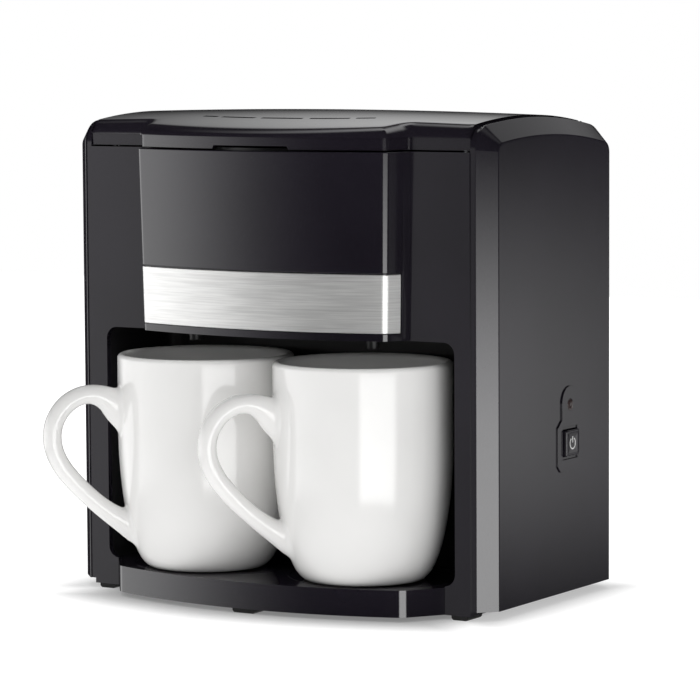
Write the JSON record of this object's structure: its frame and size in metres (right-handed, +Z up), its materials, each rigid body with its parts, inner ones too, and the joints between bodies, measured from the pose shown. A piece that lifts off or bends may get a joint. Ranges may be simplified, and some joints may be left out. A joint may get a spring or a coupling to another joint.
{
  "type": "drip coffee maker",
  "caption": "Compact drip coffee maker with a bowed brew head, hinged lid and open mug bay holding a pair of stoneware mugs.",
  "frame": {"origin": "on the floor under the middle of the whole object's bounding box, mugs in place", "axes": "+X to the machine's left-hand side seen from behind, that is to the right seen from the front, the side with the switch; +Y from the mugs towards the back; +Z up"},
  "size_m": [0.2078, 0.1588, 0.2068],
  "materials": {
    "black_gloss": "high-gloss black ABS moulding",
    "black_satin": "fine-textured black polypropylene",
    "foot_rubber": "matt black rubber",
    "brushed_steel": "horizontally brushed stainless trim",
    "gold_mesh": "gold-toned wire cloth",
    "smoke_plastic": "smoke grey polypropylene",
    "silicone": "translucent silicone rubber",
    "white_plastic": "natural white polypropylene",
    "plated_steel": "zinc plated steel",
    "heater_aluminium": "extruded aluminium, as drawn",
    "ceramic_cream": "unglazed cream ceramic",
    "red_lens": "dark red translucent lens",
    "white_glaze": "white glazed stoneware"
  },
  "bodies": {
    "machine": {"housing_shell": "black_gloss", "bay_liner": "black_satin", "base_pan": "black_gloss", "mug_tray": "black_gloss", "feet": "foot_rubber", "left_side_panel": "black_gloss", "right_side_panel": "black_gloss", "back_cover": "black_satin", "inner_deck": "black_satin", "head_shell": "black_gloss", "upper_front_panel": "black_gloss", "steel_band": "brushed_steel", "brew_funnel": "black_satin", "water_tank": "smoke_plastic", "tank_seal": "silicone", "riser_tube": "white_plastic", "water_spreader": "black_satin", "lid_hinge_pins": "plated_steel", "heating_element": "heater_aluminium", "heater_bracket": "plated_steel", "heater_clamp": "plated_steel", "heater_screws": "plated_steel", "thermostat": "ceramic_cream", "thermal_fuse": "ceramic_cream", "inlet_hose": "silicone", "outlet_hose": "silicone", "check_valve": "white_plastic", "hose_clamps": "plated_steel", "switch_plate": "black_gloss", "power_switch": "black_satin", "indicator_lens": "red_lens", "cord_grommet": "foot_rubber", "base_screws": "plated_steel", "deck_screws": "plated_steel", "back_screws": "plated_steel"},
    "brew_lid": {"lid": "black_gloss"},
    "filter_basket": {"filter_frame": "black_satin", "filter_mesh": "gold_mesh"},
    "button": {"power_button": "black_satin"},
    "mug_left": {"left_mug": "white_glaze"},
    "mug_right": {"right_mug": "white_glaze"}
  },
  "joints": [
    {"name": "lid_hinge", "type": "hinge", "parent": "machine", "child": "brew_lid", "pos_m": [0, 0.0641, 0.19728], "axis": [-1, 0, 0], "range_deg": [0, 100]},
    {"name": "basket_lift", "type": "slide", "parent": "machine", "child": "filter_basket", "axis": [0, 0, 1], "range_m": [0, 0.006]},
    {"name": "button_press", "type": "slide", "parent": "machine", "child": "button", "axis": [-1, 0, 0], "range_m": [0, 0.0015], "stiffness_N_per_m": 400, "springref_m": -0.002},
    {"name": "left_mug_pull", "type": "slide", "parent": "machine", "child": "mug_left", "axis": [-0.4203, -0.9013, 0.1045], "range_m": [0, 0.16]},
    {"name": "right_mug_pull", "type": "slide", "parent": "machine", "child": "mug_right", "axis": [0, -0.9945, 0.1045], "range_m": [0, 0.16]}
  ]
}
